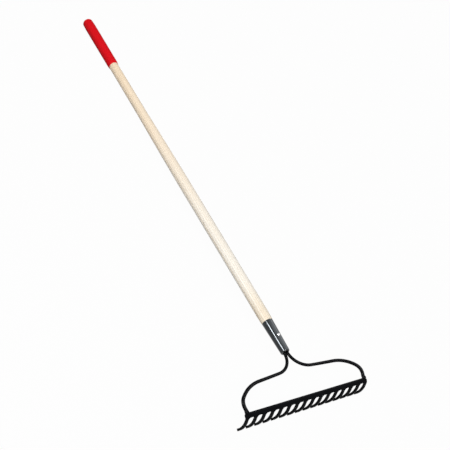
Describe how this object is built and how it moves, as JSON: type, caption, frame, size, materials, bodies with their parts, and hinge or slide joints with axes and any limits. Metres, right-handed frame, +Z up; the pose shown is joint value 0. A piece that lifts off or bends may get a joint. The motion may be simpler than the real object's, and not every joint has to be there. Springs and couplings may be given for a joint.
{
  "type": "bow rake",
  "caption": "Bow rake: a comb of curved steel tines on a bent bar, held by two bowed rods in a tapered ferrule on a long ash handle with a red end grip.",
  "frame": {"origin": "on the floor, under the middle of the tool's box, with the rake lying tines down on its tine tips and its grip end", "axes": "+Y from the head towards the grip, +Z up from the floor, +X along the bar"},
  "size_m": [0.4078, 1.676, 0.0879],
  "materials": {
    "ash": "clear-coated straight-grained ash",
    "red_vinyl": "satin dipped vinyl",
    "dark_steel": "dark burnished steel",
    "bright_steel": "bright zinc-plated steel",
    "black_paint": "satin black powder coat on steel"
  },
  "bodies": {
    "root": {"ash_handle": "ash", "end_grip": "red_vinyl", "ferrule": "dark_steel", "ferrule_pin": "bright_steel", "bow_rod_left": "black_paint", "bow_rod_right": "black_paint", "head_bar": "black_paint", "tine_01": "black_paint", "tine_02": "black_paint", "tine_03": "black_paint", "tine_04": "black_paint", "tine_05": "black_paint", "tine_06": "black_paint", "tine_07": "black_paint", "tine_08": "black_paint", "tine_09": "black_paint", "tine_10": "black_paint", "tine_11": "black_paint", "tine_12": "black_paint", "tine_13": "black_paint", "tine_14": "black_paint", "tine_15": "black_paint", "tine_16": "black_paint"}
  },
  "joints": []
}
